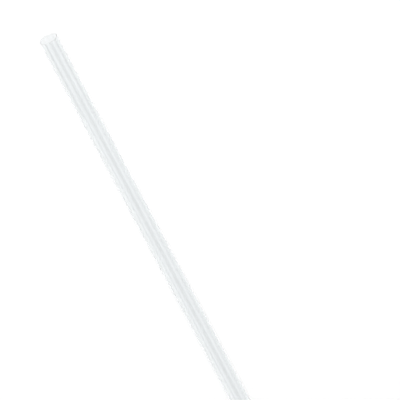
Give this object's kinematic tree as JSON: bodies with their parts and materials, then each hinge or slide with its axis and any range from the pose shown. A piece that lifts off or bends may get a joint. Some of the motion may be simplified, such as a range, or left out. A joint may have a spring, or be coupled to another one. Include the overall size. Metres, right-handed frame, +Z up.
{
  "type": "drinking straw",
  "caption": "Straight see-through drinking straw: a thin-walled round tube, open and cut square at both ends.",
  "frame": {"origin": "on the surface that the straw rests on, under the middle of the tube", "axes": "+X along the tube towards the end that the drinker's lips take, +Z up, the tube lying on its side"},
  "size_m": [0.197, 0.006, 0.006],
  "materials": {
    "clear_plastic": "clear, very slightly milky extruded polypropylene, smooth and glossy, with faint lengthwise extrusion lines"
  },
  "bodies": {
    "root": {"straw_tube": "clear_plastic"}
  },
  "joints": []
}
